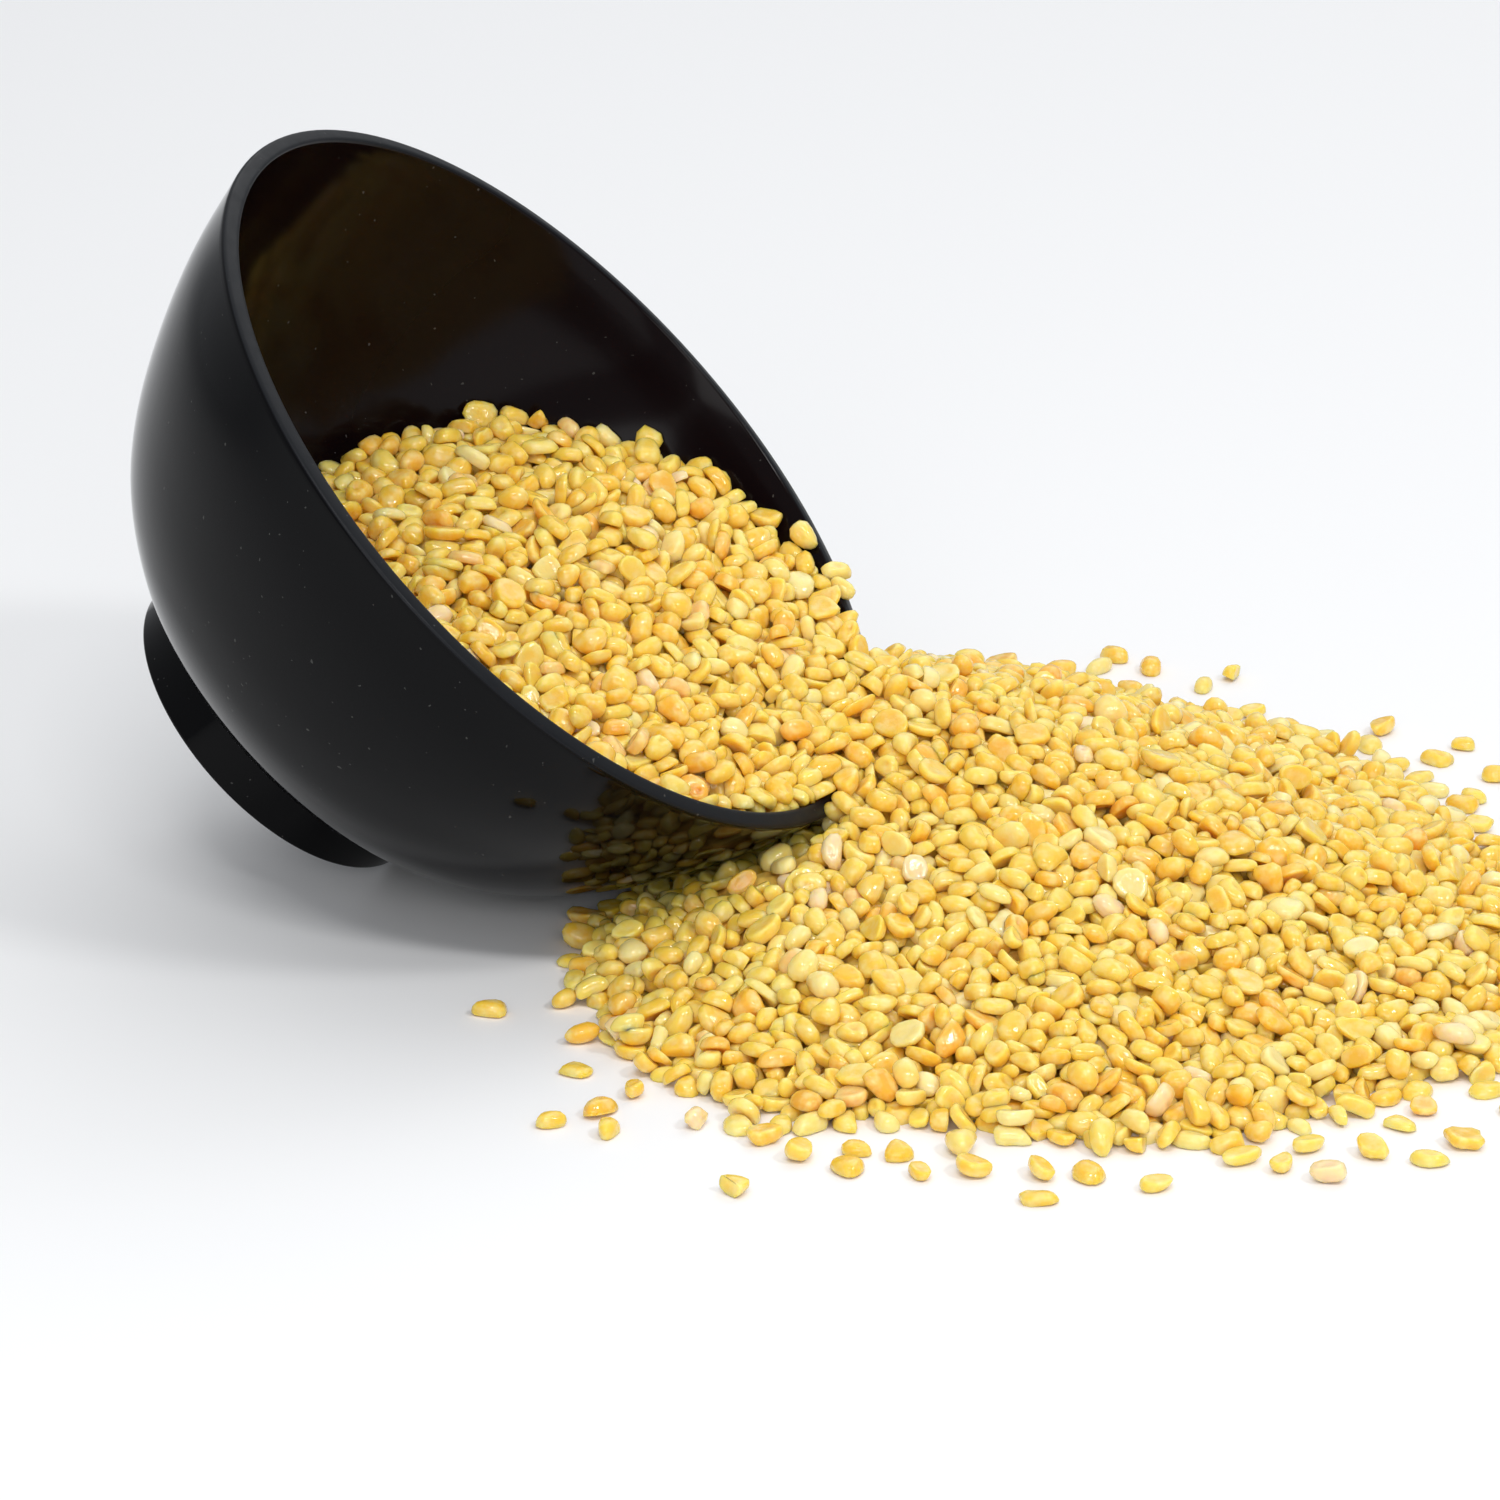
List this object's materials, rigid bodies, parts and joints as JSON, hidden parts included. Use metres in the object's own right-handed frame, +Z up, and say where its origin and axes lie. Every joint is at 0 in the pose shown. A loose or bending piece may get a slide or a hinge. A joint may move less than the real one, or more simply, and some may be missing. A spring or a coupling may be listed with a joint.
{
  "type": "tipped bowl of split mung beans",
  "caption": "Small black bowl tipped on its side, part full of golden split mung beans that run out over its rim into a low mound.",
  "frame": {"origin": "on the surface that it lies on, under the middle of the spilled beans", "axes": "+X the way the bowl leans and the beans run out, +Z up"},
  "size_m": [0.2038, 0.1786, 0.1011],
  "materials": {
    "bowl": "glossy black melamine with a satin rim",
    "lentils": "waxy golden split beans, from cream to orange"
  },
  "bodies": {
    "root": {"bowl": "bowl", "lentils": "lentils"}
  },
  "joints": []
}
